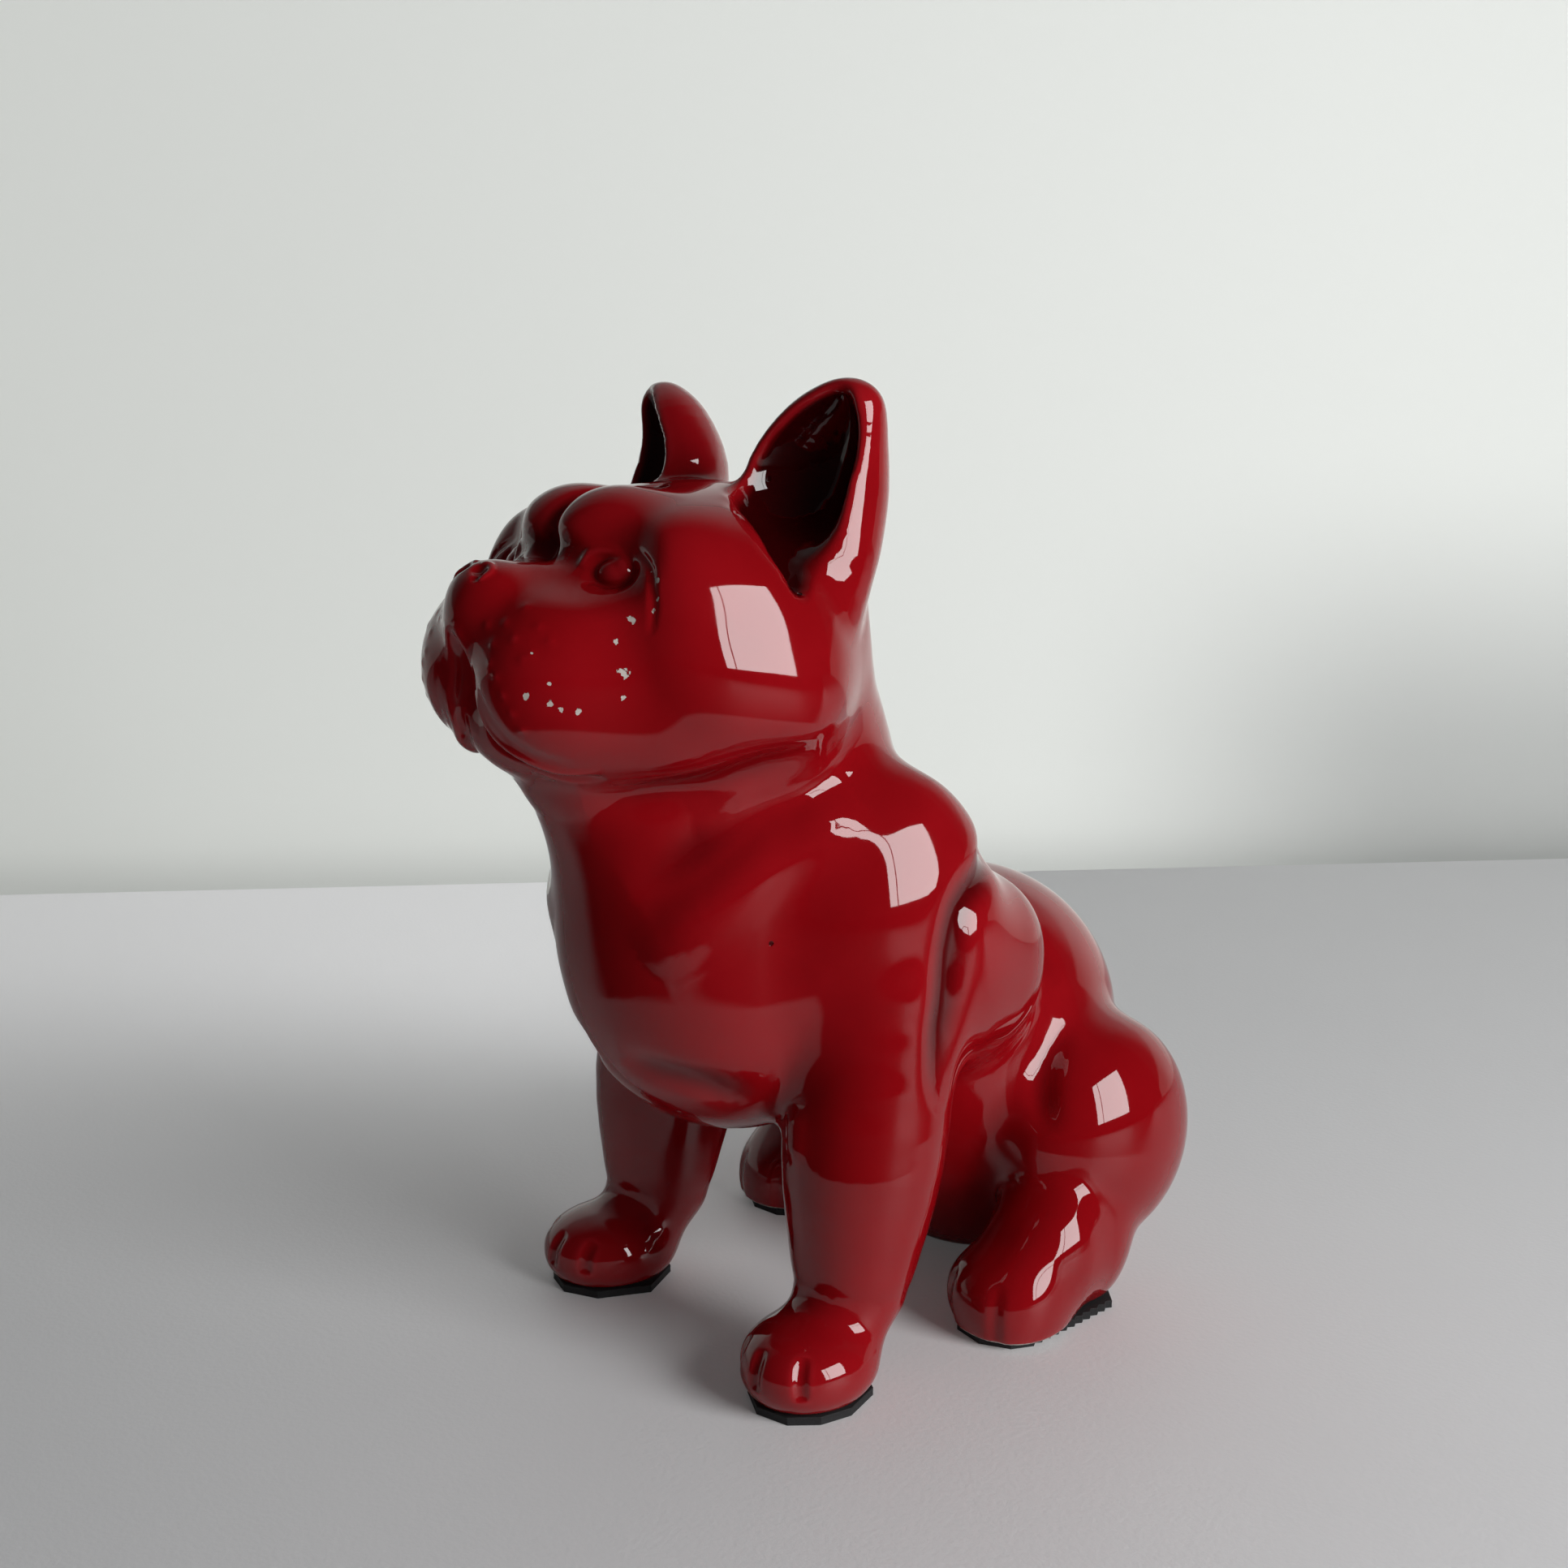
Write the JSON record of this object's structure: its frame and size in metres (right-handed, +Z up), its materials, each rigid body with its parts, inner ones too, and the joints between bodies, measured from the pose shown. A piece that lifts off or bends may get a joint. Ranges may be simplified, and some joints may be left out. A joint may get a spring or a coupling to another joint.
{
  "type": "dog statue",
  "caption": "Glazed ceramic figurine of a seated, upright-eared bulldog with its head raised, standing on cut rubber pads under the feet.",
  "frame": {"origin": "middle of the overall footprint, on the table under the rubber pads", "axes": "+Z up, -Y is the way the dog looks, +X is the dog's left side"},
  "size_m": [0.1406, 0.2214, 0.2593],
  "materials": {
    "red_glaze": "gloss",
    "black_rubber": "matte"
  },
  "bodies": {
    "root": {"body": "red_glaze", "front_left_pad": "black_rubber", "front_right_pad": "black_rubber", "hind_left_pad": "black_rubber", "hind_right_pad": "black_rubber"}
  },
  "joints": []
}
